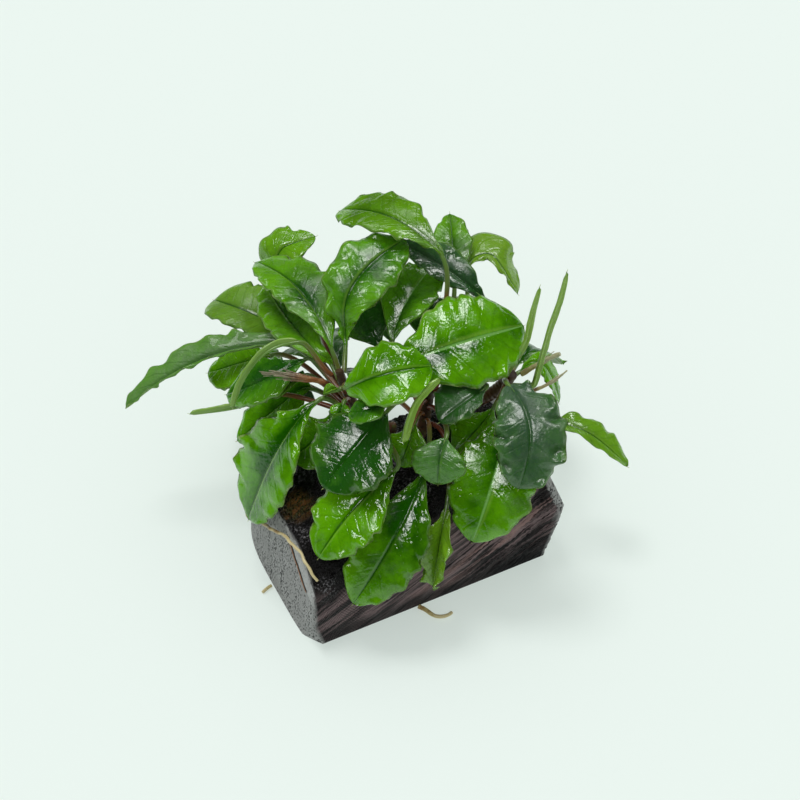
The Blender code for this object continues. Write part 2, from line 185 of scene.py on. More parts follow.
# name: stem, blade base, middle and tip in millimetres, width, roll, fold, shade, extras
leafPlan = {
    "leaf_back_1": ("middle", (34, 36, 102), (24, 55, 106), (14, 73, 98), 20, 0, 10, "bright", {"right": 1.2, "widest": 1.6, "gloss": -0.4, "yellow": 0.35, "blunt": 0.45, "early": 4}),
    "leaf_back_2": ("middle", (47, 23, 82), (39, 36, 89), (29, 55, 91), 13, -20, 25, "dark", {"gloss": -0.5, "grey": 0.5, "wave": 1.8, "right": 1.2, "left": 0.9, "tone": -0.1}),
    "leaf_back_3": ("middle", (44, 41, 76), (49, 52, 82), (56, 68, 84), 14, 0, 15, "bright", {"yellow": 0.1, "gloss": -0.5, "tone": -0.1}),
    "leaf_back_4": ("middle", (50, 43, 70), (60, 47, 80), (64, 35, 73), 18, 0, 10, "pale", {"right": 0.4, "left": 1.25, "tip": (66, 33, 69), "yellow": 0.3, "blunt": 0.4, "gloss": -0.6, "base": 0.9,
                     "through": ((51, 47, 74), (56, 48, 79), (61, 46, 80), (63, 41, 78))}),
    "leaf_left_1": ("left", (-4, 32, 85), (4, 38, 98), (27, 47, 100), 23, 12, 12, "bright", {"gloss": -0.5, "wave": 1.7, "early": 9, "widest": 1.35, "base": 0.42, "tone": 0.1}),
    "leaf_left_2": ("left", (-11, 30, 82), (-12, 53, 88), (-18, 78, 82), 19, 0, 12, "bright", {"gloss": -0.6, "early": 4, "yellow": 0.1, "right": 1.3, "widest": 1.2}),
    "leaf_left_3": ("left", (-3, 80, 62), (-8, 87, 74), (9, 85, 78), 18, 0, 10, "bright", {"yellow": 0.35, "gloss": -0.4, "through": ((-7, 84.8, 70), (-4, 86.3, 76), (2, 85.3, 78))}),
    "leaf_left_4": ("left", (-12, 63, 57), (-24, 73, 64), (-34, 91, 61), 21, 0, 12, "pale", {"right": 1.35, "blunt": 0.26, "left": 0.95, "gloss": -0.9, "tone": -0.3, "wave": 0.6,
                     "tip": (-31.5, 88.2, 60)}),
    "leaf_left_5": ("left", (-13, 28, 76), (-17, 42, 78), (-15, 77, 70), 18, 0, 10, "bright", {"gloss": -0.5, "early": 4, "yellow": 0.15}),
    # leaf_left_6's raised tone and grey are partly its own colour and partly painted sheen and painted light shining
    # through it
    "leaf_left_6": ("left", (-21, 48, 69), (-49, 60, 62), (-78, 66, 44), 12, 0, 35, "dark", {"gloss": -1.3, "tip": (-76.6, 65.6, 44.6), "tone": 0.75, "yellow": 0.2, "grey": 0.2, "left": 0.45, "right": 1.2, "wave": 1.7, "hair": 0.3, "early": 8,
                     "base": 0.6, "blunt": 0.45}),
    "leaf_left_7": ("left", (-24, 53, 60), (-34, 57, 57), (-45, 63, 51), 17, 0, 10, "bright", {"yellow": 0.2, "left": 1.35, "right": 1.15, "blunt": 0.5}),
    "leaf_left_8": ("left", (-23, 29, 88), (-37, 31, 85), (-49, 28, 68), 8, 60, 40, "pale", {"plain": 1.0, "tone": 0.25, "width": 3.4, "blunt": 0.22, "base": 0.9, "thick": 1.3, "wave": 0.6, "gloss": -0.5}),
    "leaf_left_9": ("left", (-34, 37, 58), (-46, 41, 54), (-58, 49, 49), 8, 60, 40, "pale", {"plain": 1.0, "tone": 0.25, "width": 3.6, "blunt": 0.4, "base": 0.9, "thick": 1.3, "wave": 0.6, "gloss": -0.5}),
    "leaf_left_10": ("left", (-19, 33, 74), (-33, 34, 70), (-46, 42, 60), 18, 0, 10, "dark", {"left": 1.15, "right": 1.15, "tone": 0.2}),
    "leaf_left_11": ("left", (-21, 32, 67), (-30, 34, 64), (-40, 42, 58), 13, 0, 15, "dark", {"yellow": 0.3}),
    "leaf_front_1": ("left", (-21, 36, 56), (-32, 36, 50), (-45, 38, 39), 18, 0, 12, "bright", {"base": 1.0, "early": 5, "left": 1.15, "right": 1.1}),
    # leaf_front_2's raised tone is partly its own colour and partly a painted reflection of the pale surroundings
    "leaf_front_2": ("left", (-23, 14, 73), (-40, 12, 58), (-53, 11, 28), 23, 0, 12, "dark", {"left": 1.25, "right": 1.4, "tone": 0.7, "yellow": 0.1, "grey": -0.1, "wave": 1.4, "gloss": 0.1, "widest": 1.3}),
    "leaf_front_3": ("left", (-18, 15, 63), (-23, 12, 58), (-30, 12, 50), 17, 0, 10, "bright", {"tip": (-35, 13, 50), "width": 22}),
    "leaf_front_4": ("middle", (-5, -3, 75), (-19, -8, 69), (-33, -11, 58), 26, -8, 10, "dark", {"gloss": -0.12, "left": 1.2, "right": 1.2, "wave": 1.2, "tone": -0.35}),
    "leaf_front_5": ("left", (-8, -16, 60), (-27, -20, 52), (-41, -23, 38), 25, -10, 10, "bright", {"wave": 1.2}),
    "leaf_front_6": ("middle", (2, -18, 56), (-16, -31, 44), (-34, -35, 22), 25, -22, 12, "bright", {"tone": -0.4, "widest": 1.2}),
    "leaf_front_7": ("middle", (6, -27, 44), (-1, -37, 35), (-5, -41, 20), 16, 0, 50, "pale", {"twist": 35, "width": 17, "mid": (-1, -35, 35), "tip": (-5, -39, 20), "yellow": 0.15, "tone": 0.0, "wave": 2.6, "left": 1.15, "right": 0.75, "blunt": 0.5}),
    "leaf_front_8": ("right", (39, -12, 64), (22, -31, 55), (10, -39, 36), 30, -8, 10, "bright", {"plain": -1.0, "wave": 1.1, "widest": 1.15, "hair": 0.8}),
    # leaf_front_9's lowered tone is painted shade; leaf_front_10's raised tone is painted light on a leaf that lies in
    # shade
    "leaf_front_9": ("middle", (30, -9, 76), (19, -12, 76), (10, -13, 72), 16, 0, 10, "dark", {"gloss": -0.9, "left": 0.75, "right": 1.45, "tone": -0.6}),
    "leaf_front_10": ("right", (35, -6, 60), (26, -10, 57), (17, -11, 51), 17, 0, 12, "bright", {"tone": 0.8, "yellow": 0.1, "left": 1.1, "right": 1.1}),
    "leaf_front_11": ("middle", (10, -18, 69), (5, -23, 66), (3, -26, 57), 19, 0, 12, "grey", {"tone": 0.4, "grey": -0.35, "wave": 1.3, "gloss": -0.7}),
    "leaf_front_12": ("middle", (5, -4, 65), (0, -9, 61), (-4, -10, 54), 11, 0, 15, "grey", {"tone": 0.6, "grey": -0.7, "yellow": 0.2, "left": 1.3, "right": 1.3}),
    "leaf_front_13": ("middle", (-6, -5, 82), (-13, -5, 82), (-18, -1, 79), 12, 0, 10, "dark", {}),
    "young_leaf_1": ("left", (-15, 13, 76), (-18, 14, 75), (-20, 15, 73), 5, 0, 55, "bright", {"yellow": 0.4}),
    "young_leaf_2": ("left", (-16, 8, 74), (-18, 6, 73), (-19, 5, 70), 8, 0, 15, "bright", {}),
    "leaf_right_1": ("right", (37, -12, 77), (35, -31, 74), (26, -41, 58), 25, 0, 10, "grey", {"gloss": -0.8, "base": 0.95, "wave": 2.3, "blunt": 0.5, "tone": 0.1, "hair": 1.0}),
    "leaf_right_2": ("right", (57, -15, 50), (66, -23, 48), (76, -33, 36), 12, 0, 10, "pale", {"left": 1.15, "right": 0.6, "wave": 1.3, "tone": -0.2, "hair": 1.2, "early": 5, "gloss": -0.4,
                     "base": 0.9, "blunt": 0.45}),
    "leaf_right_3": ("right", (44, 1, 68), (51, -1, 80), (55, 1, 104), 5, 70, 30, "pale", {"plain": 1.0, "tone": 0.3, "width": 2.6, "blunt": 0.2, "base": 0.95, "thick": 1.3, "wave": 0.6, "early": 10, "gloss": -0.5,
                     "through": ((49.5, -1, 82), (52, 0, 93))}),
    "leaf_right_4": ("right", (54, -2, 60), (58, -1, 82), (65, 2, 106), 6, 70, 30, "pale", {"plain": 1.0, "tone": 0.3, "width": 3.0, "blunt": 0.2, "base": 0.95, "thick": 1.3, "wave": 0.6, "early": 12, "gloss": -0.5,
                     "through": ((58.5, -1, 82), (63, 0.5, 94)), "tip": (66.5, 2.5, 105)}),
    "leaf_right_5": ("right", (55, 10, 55), (64, 9, 55), (67, 1, 41), 12, 0, 12, "bright", {}),
    "leaf_middle_1": ("middle", (8, 9, 82), (28, 4, 87), (54, 8, 80), 29, 28, 8, "bright", {"left": 1.18, "plain": -1.0, "right": 1.12, "early": 4, "wave": 0.9, "base": 0.7}),
    "leaf_middle_2": ("left", (-15, 5, 84), (-3, -2, 92), (12, -3, 89), 23, 22, 10, "bright", {"base": 0.7, "early": 3}),
    "leaf_middle_3": ("middle", (11, 25, 76), (22, 36, 81), (41, 49, 82), 20, 0, 20, "bright", {"gloss": -0.4, "plain": -1.0}),
    "leaf_middle_4": ("left", (8, 28, 72), (7, 37, 77), (10, 49, 80), 17, 0, 12, "dark", {"gloss": -0.4, "tone": -0.2, "left": 1.15, "right": 1.15}),
    "leaf_middle_5": ("middle", (-4, -15, 74), (3, -10, 83), (12, -9, 89), 6, 70, 35, "pale", {"plain": 1.0, "tone": -0.05, "width": 3.6, "blunt": 0.2, "base": 0.95, "thick": 1.3, "wave": 0.6, "early": 4, "gloss": -0.3}),
    "leaf_middle_6": ("middle", (24, 26, 68), (30, 32, 72), (37, 39, 74), 18, 0, 10, "dark", {}),
    # the hidden leaves inside the clump get a lowered tone, which is painted shade
    "leaf_hidden_1": ("left", (-16, 56, 42), (-24, 70, 37), (-32, 82, 22), 20, 0, 10, "bright", {"tone": -0.4, "gloss": -0.5, "left": 1.2, "right": 1.2}),
    "leaf_hidden_2": ("left", (-2, 46, 54), (-2, 62, 48), (-4, 78, 30), 21, 0, 10, "bright", {"tone": -0.85, "gloss": -0.9, "left": 1.2, "right": 1.2, "early": 6}),
    "leaf_hidden_3": ("middle", (18, 44, 62), (20, 62, 58), (22, 80, 42), 21, 0, 10, "bright", {"tone": -0.85, "gloss": -0.9, "left": 1.2, "right": 1.2, "early": 6}),
    "leaf_hidden_4": ("middle", (36, 34, 60), (44, 50, 58), (52, 66, 44), 20, 0, 10, "bright", {"tone": -0.85, "gloss": -0.9, "left": 1.2, "right": 1.2, "early": 6}),
    "leaf_hidden_5": ("right", (60, 18, 52), (68, 22, 50), (78, 28, 34), 19, 0, 10, "bright", {"tip": (76.6, 27.4, 34.6), "tone": -0.4, "gloss": -0.5, "hair": 0.3, "left": 1.2, "right": 1.2, "early": 4}),
    "leaf_hidden_6": ("right", (46, 28, 48), (52, 40, 40), (58, 50, 22), 19, 0, 10, "bright", {"tone": -0.5, "gloss": -0.9, "left": 1.2, "right": 1.2}),
    "leaf_hidden_7": ("left", (-14, 46, 40), (-18, 60, 34), (-20, 76, 16), 18, 0, 10, "dark", {"tone": -0.85, "gloss": -0.9, "left": 1.2, "right": 1.2, "early": 5}),
    "leaf_hidden_8": ("middle", (12, 40, 44), (16, 52, 36), (18, 64, 17), 18, 0, 10, "dark", {"tone": -0.85, "gloss": -0.9, "left": 1.2, "right": 1.2, "early": 6}),
}


def stalkRanks():
    ranks = {}
    for side, points in stemPaths.items():
        end = Vector(points[-1])
        own = [(name, Vector(row[1])) for name, row in leafPlan.items() if row[0] == side]
        own.sort(key=lambda pair: -(pair[1] - end).normalized().z)
        for rank, (name, base) in enumerate(own):
            ranks[name] = rank
    return ranks


def stalkStart(side, rank, toward):
    points = [Vector(p) for p in stemPaths[side]]
    length = sum((bezier(points, (k + 1) / 20) - bezier(points, k / 20)).length for k in range(20))
    share = 1.0 - (0.8 + rank * stemSizes["spacing"]) / length
    center = bezier(points, share)
    axis = tangent(points, share)
    out = toward - center
    out -= axis * out.dot(axis)
    out.normalize()
    start = center + out * (stemSizes["radius"] - 0.3)
    climb = (toward - center).normalized().dot(axis)
    return start, (out * 0.8 + axis * (0.45 + 0.5 * climb)).normalized()


# Geometry trees

def newTree(name, floats=(), vectors=(), materials=()):
    tree = bpy.data.node_groups.new(name, "GeometryNodeTree")
    tree.interface.new_socket("Geometry", in_out="INPUT", socket_type="NodeSocketGeometry")
    for names, kind in ((floats, "Float"), (vectors, "Vector"), (materials, "Material")):
        for label in names:
            tree.interface.new_socket(label, in_out="INPUT", socket_type="NodeSocket" + kind)
    tree.interface.new_socket("Geometry", in_out="OUTPUT", socket_type="NodeSocketGeometry")
    start = tree.nodes.new("NodeGroupInput")
    return tree, {socket.name: Wire(tree, socket) for socket in start.outputs if socket.name}


def endTree(tree, geometry):
    end = tree.nodes.new("NodeGroupOutput")
    tree.links.new(geometry.socket, end.inputs[0])


def storeField(tree, geometry, name, value, kind="FLOAT", domain="POINT"):
    return addNode(tree, "GeometryNodeStoreNamedAttribute", {"data_type": kind, "domain": domain},
                   {"Geometry": geometry, "Name": name, "Value": value})


leafDetail = {"along": 84, "across": 35, "tubeSides": 8}


def leafTree():
    tree, given = newTree(
        "leafAlongMidrib",
        ("Blade start", "Blade end", "Width", "Left side", "Right side", "Widest", "Roll", "Twist", "Fold",
         "Droop", "Wave height", "Waves", "Uneven", "Blunt", "Base width", "Seed", "Thickness", "Stalk radius", "Tone",
         "Yellow", "Grey", "Gloss", "Plain"),
        ("Level",), ("Blade material", "Stalk material"))
    path = given["Geometry"]
    grid = addNode(tree, "GeometryNodeMeshGrid", {}, {"Size X": 1.0, "Size Y": 1.0,
                   "Vertices X": leafDetail["along"], "Vertices Y": leafDetail["across"]})
    spot = addNode(tree, "GeometryNodeInputPosition")
    split = addNode(tree, "ShaderNodeSeparateXYZ", {}, {0: spot})
    along = split + 0.5
    side = Wire(tree, split.socket.node.outputs[1]) * 2.0
    # finer rows beside the midrib
    across = side * (side * side * 0.6 + 0.4)
    far = absolute(across)
    isLeft = maths(tree, "GREATER_THAN", across, 0.0)
    flat = addNode(tree, "ShaderNodeCombineXYZ", {}, {0: along, 1: across * 0.5 + 0.5, 2: 0.0})

    onPath = given["Blade start"] + along * (given["Blade end"] - given["Blade start"])
    sample = addNode(tree, "GeometryNodeSampleCurve", {"mode": "FACTOR"}, {"Curves": path, "Factor": onPath}, 1)
    ahead = Wire(tree, sample.socket.node.outputs[2])
    level = given["Level"]
    flatAcross = vectorMath(tree, "NORMALIZE", level - ahead * vectorMath(tree, "DOT_PRODUCT", level, ahead, out=1))
    roll = given["Roll"] + given["Twist"] * along
    turned = addNode(tree, "ShaderNodeVectorRotate", {"rotation_type": "AXIS_ANGLE"},
                     {"Vector": flatAcross, "Axis": ahead, "Angle": roll})
    normal = vectorMath(tree, "CROSS_PRODUCT", ahead, turned)

    # outline: wedge at the base, broad middle, blunt end
    wedge = given["Base width"] + (1.0 - given["Base width"]) * remap(along, 0.0, 0.42)
    outline = maths(tree, "MAXIMUM", sine(math.pi * along ** given["Widest"]), 0.0) ** given["Blunt"] * wedge
    sideWidth = given["Right side"] + isLeft * (given["Left side"] - given["Right side"])
    phase = along * given["Waves"] * (1.0 + isLeft * 0.17) * (2.0 * math.pi) + given["Seed"] * (3.0 + isLeft * 2.3)
    wander = addNode(tree, "ShaderNodeTexNoise", {"noise_dimensions": "3D"},
                     {"Vector": flat + addNode(tree, "ShaderNodeCombineXYZ", {}, {2: given["Seed"] * 7.3}),
                      "Scale": 3.2, "Detail": 1.0})
    phase = phase + (wander - 0.5) * 7.0
    uneven = addNode(tree, "ShaderNodeTexNoise", {"noise_dimensions": "3D"},
                     {"Vector": flat + addNode(tree, "ShaderNodeCombineXYZ", {}, {2: given["Seed"] * 3.1 + 5.0}),
                      "Scale": 6.5, "Detail": 0.0})
    ripple = (sine(phase) * 0.8 + sine(phase * 1.7 + 1.3) * 0.35) * remap(uneven, 0.3, 0.7, 0.25, 1.5)
    nearEnds = remap(along, 0.0, 0.16) * (1.0 - remap(along, 0.86, 1.0) * 0.6)
    scallop = 1.0 + (sine(phase + 1.2) * 0.045 + sine(phase * 1.7) * 0.03) * nearEnds * (0.4 + uneven)
    half = given["Width"] * 0.5 * outline * sideWidth * scallop
    lift = given["Fold"] + given["Droop"] * far * 0.5
    lift = lift * remap(along, 0.0, 0.15, 0.2, 1.0)
    out = half * across * cosine(lift)
    rise = half * far * sine(lift)
    wave = given["Wave height"] * ripple * (far ** 4.0 * 0.8 + far ** 1.6 * 0.2) * nearEnds
    # soft quilting between the side veins and a groove along the midrib
    veins = sine((along * 9.0 - far * 1.6) * (2.0 * math.pi)) * far * (1.0 - far) * 0.00012
    dent = (wander - 0.5) * far * 0.0022 * given["Uneven"]
    groove = maths(tree, "EXPONENT", -((half * across * 1500.0) ** 2.0)) * -0.00045 * remap(along, 0.0, 0.1)
    groove = groove * (1.0 - remap(along, 0.75, 1.0)) * (1.0 - absolute(given["Plain"]) * 1.0)
    shape = sample + turned * out + normal * (rise + wave + veins + dent + groove)
    ends = remap(along, 0.0, 0.05) * (1.0 - remap(along, 0.95, 1.0))
    taper = (1.0 - far ** 6.0) * ends
    thick = given["Thickness"] * 0.5 * taper

    blade = storeField(tree, grid, "leafUv", flat, "FLOAT2", "CORNER")
    top = addNode(tree, "GeometryNodeSetPosition", {}, {"Geometry": blade, "Position": shape + normal * thick})
    top = storeField(tree, top, "under", 0.0)
    under = addNode(tree, "GeometryNodeSetPosition", {}, {"Geometry": blade, "Position": shape - normal * thick})
    under = storeField(tree, addNode(tree, "GeometryNodeFlipFaces", {}, {0: under}), "under", 1.0)
    sheets = addNode(tree, "GeometryNodeJoinGeometry")
    tree.links.new(under.socket, sheets.socket.node.inputs[0])
    tree.links.new(top.socket, sheets.socket.node.inputs[0])
    sheets = addNode(tree, "GeometryNodeMergeByDistance", {}, {"Geometry": sheets, "Distance": 0.00002})
    sheets = addNode(tree, "GeometryNodeSetMaterial", {}, {"Geometry": sheets, "Material": given["Blade material"]})

    # stalk and the rib under the blade, ending in a hair
    factor = addNode(tree, "GeometryNodeSplineParameter")
    way = addNode(tree, "GeometryNodeInputTangent")
    wayAcross = vectorMath(tree, "NORMALIZE", level - way * vectorMath(tree, "DOT_PRODUCT", level, way, out=1))
    wayTurned = addNode(tree, "ShaderNodeVectorRotate", {"rotation_type": "AXIS_ANGLE"},
                        {"Vector": wayAcross, "Axis": way, "Angle": given["Roll"]})
    wayNormal = vectorMath(tree, "CROSS_PRODUCT", way, wayTurned)
    onBlade = remap(factor, given["Blade start"], given["Blade end"])
    begun = remap(factor, given["Blade start"] - 0.06, given["Blade start"] + 0.08)
    slim = given["Stalk radius"] * (1.0 - 0.78 * onBlade) * (1.12 - 0.3 * begun)
    hair = remap(factor, given["Blade end"] - 0.01, 1.0)
    slim = slim * (1.0 - 0.55 * hair)
    lowered = wayNormal * ((slim * 0.95 + 0.0002) * begun * (1.0 - hair) * -1.0)
    rib = addNode(tree, "GeometryNodeSetPosition", {}, {"Geometry": path, "Offset": lowered})
    ribAlong = (factor - given["Blade start"]) / (given["Blade end"] - given["Blade start"])
    ribUv = addNode(tree, "ShaderNodeCombineXYZ", {}, {0: ribAlong, 1: 0.5, 2: 0.0})
    rib = storeField(tree, rib, "ribUv", ribUv, "FLOAT_VECTOR")
    ring = addNode(tree, "GeometryNodeCurvePrimitiveCircle", {},
                   {"Resolution": leafDetail["tubeSides"], "Radius": 1.0})
    tube = addNode(tree, "GeometryNodeCurveToMesh", {},
                   {"Curve": rib, "Profile Curve": ring, "Scale": slim, "Fill Caps": True})
    ribPlace = addNode(tree, "GeometryNodeInputNamedAttribute", {"data_type": "FLOAT_VECTOR"}, {"Name": "ribUv"})
    tube = storeField(tree, tube, "leafUv", ribPlace, "FLOAT2", "CORNER")
    tube = storeField(tree, tube, "under", 1.0)
    tube = addNode(tree, "GeometryNodeSetMaterial", {}, {"Geometry": tube, "Material": given["Stalk material"]})

    whole = addNode(tree, "GeometryNodeJoinGeometry")
    tree.links.new(tube.socket, whole.socket.node.inputs[0])
    tree.links.new(sheets.socket, whole.socket.node.inputs[0])
    for name in ("Tone", "Yellow", "Grey", "Gloss", "Plain"):
        whole = storeField(tree, whole, "leaf" + name, given[name])
    whole = addNode(tree, "GeometryNodeSetShadeSmooth", {}, {"Geometry": whole})
    whole = addNode(tree, "GeometryNodeRealizeInstances", {}, {"Geometry": whole})
    endTree(tree, whole)
    return tree


def curveObject(name, points, radii=None):
    data = bpy.data.curves.new(name + "Path", "CURVE")
    data.dimensions = "3D"
    spline = data.splines.new("POLY")
    spline.points.add(len(points) - 1)
    for i, point in enumerate(points):
        spline.points[i].co = (*(point * mm), 1.0)
        spline.points[i].radius = radii[i] if radii else 1.0
    path = bpy.data.objects.new(name + "Path", data)
    bpy.context.collection.objects.link(path)
    return path


def growMesh(path, tree, values, name):
    grow = path.modifiers.new("grow", "NODES")
    grow.node_group = tree
    for socket in tree.interface.items_tree:
        if socket.item_type == "SOCKET" and socket.in_out == "INPUT" and socket.name in values:
            grow[socket.identifier] = values[socket.name]
    seen = path.evaluated_get(bpy.context.evaluated_depsgraph_get())
    mesh = bpy.data.meshes.new_from_object(seen)
    mesh.name = name
    piece = bpy.data.objects.new(name, mesh)
    bpy.context.collection.objects.link(piece)
    path.modifiers.remove(grow)
    bpy.data.objects.remove(path, do_unlink=True)
    return piece


def finish(piece, node):
    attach(piece, "root")
    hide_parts(node)


leafShades = {
    "bright": {"tone": 0.0, "yellow": 0.1, "grey": 0.0, "slot": "leaf_bright"},
    "dark": {"tone": -0.6, "yellow": 0.0, "grey": 0.1, "slot": "leaf_dark"},
    "grey": {"tone": -0.4, "yellow": 0.0, "grey": 0.7, "slot": "leaf_grey"},
    "pale": {"tone": 0.35, "yellow": 0.7, "grey": 0.1, "slot": "leaf_pale"},
}
leafLook = {"thickness": 0.55, "stalkRadius": 0.8, "hair": 1.1, "wavesPerMm": 0.105, "waveHeight": 0.85, "droop": -0.35, "widest": 1.08}


def makeLeaf(name, row, rank, tree, materials):
    side, base, middle, tip, width, roll, fold, shade, extra = row
    base = Vector(base)
    middle, tip = (Vector(extra.get(key, point)) for key, point in (("mid", middle), ("tip", tip)))
    if "through" in extra:
        midrib = smoothThrough([base] + [Vector(p) for p in extra["through"]] + [tip], 30)
    else:
        control = throughMiddle(base, middle, tip)
        midrib = [bezier(control, k / 30) for k in range(31)]
    heading = Vector((tip.x - base.x, tip.y - base.y, 0.0)).normalized()
    start, out = stalkStart(side, rank, base)
    reach = (base - start).length
    into = (midrib[1] - midrib[0]).normalized()
    stalk = [start, start + out * reach * 0.3, base - into * reach * 0.25, base]
    points = [bezier(stalk, k / 14) for k in range(14)] + midrib
    beyond = (midrib[-1] - midrib[-2]).normalized()
    hair = extra.get("hair", leafLook["hair"])
    hairBend = Vector((0.0, 0.0, 1.0)) * extra.get("hairRise", 0.25)
    points += [midrib[-1] + beyond * hair * k / 4 + hairBend * (k / 4) ** 2 for k in range(1, 5)]
    lengths = [0.0]
    for a, b in zip(points, points[1:]):
        lengths.append(lengths[-1] + (b - a).length)
    look = leafShades[shade]
    rng = random.Random(name)
    bladeLength = lengths[13 + len(midrib)] - lengths[14]
    width = extra.get("width", width)
    values = {
        "Blade start": (lengths[14] - extra.get("early", 0.0)) / lengths[-1],
        "Blade end": lengths[13 + len(midrib)] / lengths[-1],
        "Width": width * mm,
        "Left side": extra.get("left", 1.0),
        "Right side": extra.get("right", 1.0),
        "Widest": extra.get("widest", leafLook["widest"]),
        "Roll": math.radians(roll),
        "Twist": math.radians(extra.get("twist", 0.0)),
        "Fold": math.radians(fold),
        "Droop": extra.get("droop", leafLook["droop"]),
        "Wave height": leafLook["waveHeight"] * mm * extra.get("wave", 1.0) * min(width / 18.0, 1.3),
        "Waves": extra.get("waves", bladeLength * leafLook["wavesPerMm"]),
        "Uneven": extra.get("uneven", 0.8),
        "Blunt": extra.get("blunt", 0.62),
        "Base width": extra.get("base", 0.5),
        "Seed": rng.uniform(0.0, 6.0) + extra.get("seed", 0.0),
        "Thickness": extra.get("thick", leafLook["thickness"]) * mm,
        "Stalk radius": extra.get("stalk", leafLook["stalkRadius"]) * mm,
        "Tone": look["tone"] + rng.uniform(-0.15, 0.15) + extra.get("tone", 0.0),
        "Yellow": look["yellow"] + extra.get("yellow", 0.0),
        "Grey": look["grey"] + extra.get("grey", 0.0),
        "Gloss": extra.get("gloss", 0.0),
        "Plain": extra.get("plain", 0.0),
        "Level": upward.cross(heading),
        "Blade material": materials["blade"],
        "Stalk material": materials["stalk"],
    }
    piece = growMesh(curveObject(name, points), tree, values, name + "_look")
    finish(piece, name)
    return piece


def smoothThrough(points, count):
    # Catmull-Rom line through the points
    line = []
    ends = [points[0] * 2.0 - points[1]] + points + [points[-1] * 2.0 - points[-2]]
    pieces = len(points) - 1
    for k in range(count + 1):
        place = k / count * pieces
        i = min(int(place), pieces - 1)
        t = place - i
        a, b, c, d = ends[i:i + 4]
        line.append((b * 2.0 + (c - a) * t + (a * 2.0 - b * 5.0 + c * 4.0 - d) * t * t
                     + (b * 3.0 - a - c * 3.0 + d) * t ** 3) * 0.5)
    return line


# Materials

def newMaterial(name):
    material = bpy.data.materials.new(name)
    material.use_nodes = True
    tree = material.node_tree
    shader = tree.nodes["Principled BSDF"]
    return material, tree, shader


def connect(shader, name, value):
    if isinstance(value, Wire):
        value.tree.links.new(value.socket, shader.inputs[name])
    else:
        shader.inputs[name].default_value = value


def mixColor(tree, factor, a, b, blend="MIX"):
    return addNode(tree, "ShaderNodeMix", {"data_type": "RGBA", "blend_type": blend}, {0: factor, 6: a, 7: b}, 2)


def noiseField(tree, where, scale, detail=3.0, roughness=0.5, stretch=None):
    if stretch:
        where = addNode(tree, "ShaderNodeMapping", {}, {"Vector": where, "Scale": stretch})
    return addNode(tree, "ShaderNodeTexNoise", {}, {"Vector": where, "Scale": scale, "Detail": detail,
                                                    "Roughness": roughness})


def objectPlace(tree):
    return addNode(tree, "ShaderNodeTexCoord", out=3)


def attribute(tree, name, out=2):
    return addNode(tree, "ShaderNodeAttribute", {"attribute_name": name}, out=out)


def bump(tree, height, strength, distance):
    return addNode(tree, "ShaderNodeBump", {}, {"Strength": strength, "Distance": distance, "Height": height})


leafPaint = {
    "bright": (0.105, 0.36, 0.0012),
    "deep": (0.0095, 0.078, 0.0005),
    "yellow": (0.165, 0.34, 0.010),
    "grey": (0.042, 0.095, 0.048),
    "under": (0.14, 0.28, 0.035),
    # rim is the colour of the painted light along the margin and of the painted highlight beside the midrib
    "rim": (0.22, 0.40, 0.05), "toothGlints": (0.42, 0.58, 0.22), "rib": (0.20, 0.44, 0.10), "strip": (0.30, 0.47, 0.085),
    "sheen": 0.07,
}


